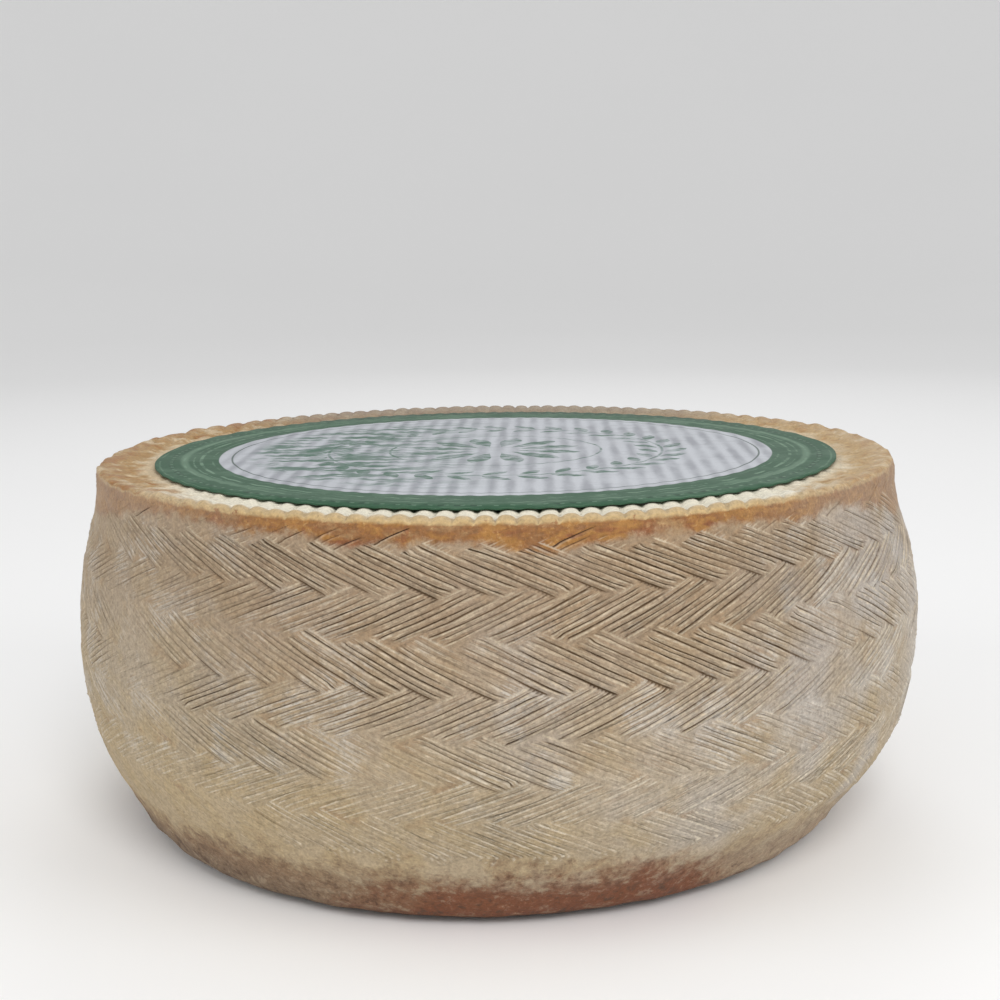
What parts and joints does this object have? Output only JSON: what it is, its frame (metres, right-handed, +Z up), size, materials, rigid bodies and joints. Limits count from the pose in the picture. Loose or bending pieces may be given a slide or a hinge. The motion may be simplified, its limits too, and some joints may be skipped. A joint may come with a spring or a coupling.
{
  "type": "cheese wheel",
  "caption": "Whole round wheel of pressed sheep's milk cheese with barrel sides, a plaited band relief, a ribbed top and a thin round paper label",
  "frame": {"origin": "centre of the footprint, on the plane of the flat base", "axes": "+Z runs up the axis of the wheel to the label, -Y is the side that faces the viewer in the picture, +X is the viewer's right. The ribs of the top run along Y, turned by under two degrees"},
  "size_m": [0.21, 0.2106, 0.09],
  "materials": {
    "rind": "dry waxy cheese rind",
    "printed_paper": "coated printed paper"
  },
  "bodies": {
    "root": {"wheel": "rind", "label": "printed_paper"}
  },
  "joints": []
}
